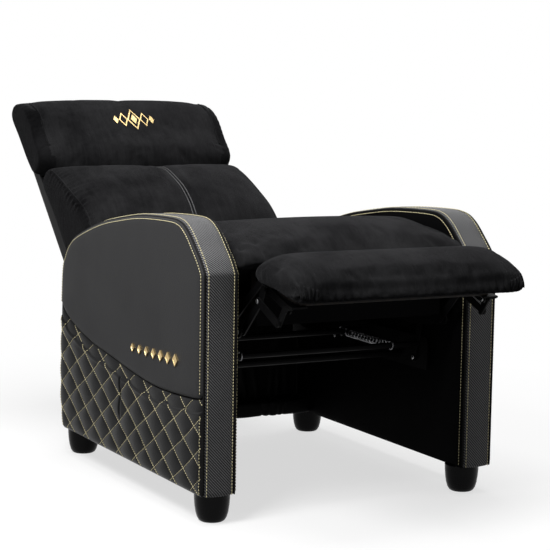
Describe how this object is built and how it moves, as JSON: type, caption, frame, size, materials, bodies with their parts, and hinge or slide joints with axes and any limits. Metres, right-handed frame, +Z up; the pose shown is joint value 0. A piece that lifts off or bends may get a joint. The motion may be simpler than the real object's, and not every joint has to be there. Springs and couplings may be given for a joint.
{
  "type": "reclining armchair",
  "caption": "Padded push-back recliner with quilted side pockets, a tilting back, a sliding seat and a folding footrest on steel links, shown fully reclined.",
  "frame": {"origin": "on the floor, under the middle of the reclined chair's outer box", "axes": "+Z up, the sitter faces -Y, X across the chair"},
  "size_m": [0.76, 1.6766, 0.8661],
  "materials": {
    "leatherette": "satin",
    "embossed_leatherette": "satin, fine diagonal emboss",
    "quilted_leatherette": "satin, diamond quilted",
    "velour": "brushed velour",
    "timber": "bare pine",
    "black_steel": "black enamel",
    "spring_steel": "zinc plated",
    "foot_plastic": "semi-gloss black",
    "deck_cloth": "black webbing cloth"
  },
  "bodies": {
    "base": {"arm_band_left": "embossed_leatherette", "arm_band_right": "embossed_leatherette", "arm_core_left": "timber", "arm_core_right": "timber", "arm_inner_panel_left": "leatherette", "arm_inner_panel_right": "leatherette", "arm_outer_panel_left": "leatherette", "arm_outer_panel_right": "leatherette", "arm_pocket_left": "quilted_leatherette", "arm_pocket_lining_left": "quilted_leatherette", "arm_pocket_lining_right": "quilted_leatherette", "arm_pocket_right": "quilted_leatherette", "base_front_tube": "black_steel", "base_rail_left": "black_steel", "base_rail_right": "black_steel", "base_spring_tube": "black_steel", "foot_front_left": "foot_plastic", "foot_front_right": "foot_plastic", "foot_rear_left": "foot_plastic", "foot_rear_right": "foot_plastic", "rear_rail": "leatherette", "spring_left": "spring_steel", "spring_right": "spring_steel"},
    "back": {"back_board": "deck_cloth", "back_bottom_rail": "timber", "back_cover": "leatherette", "back_cushion_lower": "velour", "back_hinge_bracket_left": "black_steel", "back_hinge_bracket_right": "black_steel", "back_stile_left": "timber", "back_stile_right": "timber", "back_top_rail": "timber", "headrest_cushion": "velour"},
    "footrest": {"footrest_board": "timber", "footrest_bracket_left": "black_steel", "footrest_bracket_right": "black_steel", "footrest_cushion": "velour"},
    "footrest_control": {"footrest_control_link_left": "black_steel", "footrest_control_link_right": "black_steel"},
    "footrest_lower": {"footrest_lower_link_left": "black_steel", "footrest_lower_link_right": "black_steel"},
    "footrest_main": {"footrest_main_link_left": "black_steel", "footrest_main_link_right": "black_steel"},
    "footrest_outer": {"footrest_outer_link_left": "black_steel", "footrest_outer_link_right": "black_steel"},
    "seat": {"seat_cushion": "velour", "seat_deck": "deck_cloth", "seat_front_panel": "leatherette", "seat_front_rail": "timber", "seat_plate_left": "black_steel", "seat_plate_right": "black_steel", "seat_rear_rail": "timber", "seat_side_rail_left": "timber", "seat_side_rail_right": "timber"},
    "swing_front": {"swing_cross_tube": "black_steel", "swing_link_front_left": "black_steel", "swing_link_front_right": "black_steel"},
    "swing_rear": {"swing_link_rear_left": "black_steel", "swing_link_rear_right": "black_steel"}
  },
  "joints": [
    {"name": "seat_swing", "type": "hinge", "parent": "base", "child": "swing_rear", "pos_m": [0, -0.03489, 0.3], "axis": [1, 0, 0], "range_deg": [-45, 0]},
    {"name": "seat_level", "type": "hinge", "parent": "swing_rear", "child": "seat", "pos_m": [0, -0.06077, 0.39659], "axis": [1, 0, 0], "range_deg": [0, 45]},
    {"name": "front_swing", "type": "hinge", "parent": "base", "child": "swing_front", "pos_m": [0, -0.40489, 0.3], "axis": [1, 0, 0], "range_deg": [-45, 0], "deforming": ["spring_left", "spring_right"]},
    {"name": "footrest_main_turn", "type": "hinge", "parent": "seat", "child": "footrest_main", "pos_m": [0, -0.53489, 0.41], "axis": [1, 0, 0], "range_deg": [0, 123.8]},
    {"name": "footrest_control_turn", "type": "hinge", "parent": "seat", "child": "footrest_control", "pos_m": [0, -0.46489, 0.42], "axis": [1, 0, 0], "range_deg": [0, 100.1]},
    {"name": "footrest_outer_turn", "type": "hinge", "parent": "footrest_main", "child": "footrest_outer", "pos_m": [0, -0.62491, 0.51301], "axis": [1, 0, 0], "range_deg": [-218.4, 0]},
    {"name": "footrest_lower_turn", "type": "hinge", "parent": "footrest_main", "child": "footrest_lower", "pos_m": [0, -0.61291, 0.48606], "axis": [1, 0, 0], "range_deg": [-227.9, 0]},
    {"name": "footrest_turn", "type": "hinge", "parent": "footrest_outer", "child": "footrest", "pos_m": [0, -0.71888, 0.48001], "axis": [1, 0, 0], "range_deg": [0, 186.6]},
    {"name": "back_recline", "type": "hinge", "parent": "base", "child": "back", "pos_m": [0, 0.21511, 0.365], "axis": [1, 0, 0], "range_deg": [0, 40]}
  ],
  "couplings": [
    {"joint": "seat_level", "follows": "seat_swing", "ratio": -1},
    {"joint": "front_swing", "follows": "seat_swing", "ratio": 1},
    {"joint": "footrest_main_turn", "follows": "seat_swing", "ratio": -2.7511},
    {"joint": "footrest_control_turn", "follows": "seat_swing", "ratio": -2.2244},
    {"joint": "footrest_outer_turn", "follows": "seat_swing", "ratio": 4.8533},
    {"joint": "footrest_lower_turn", "follows": "seat_swing", "ratio": 5.0644},
    {"joint": "footrest_turn", "follows": "seat_swing", "ratio": -4.1467}
  ]
}
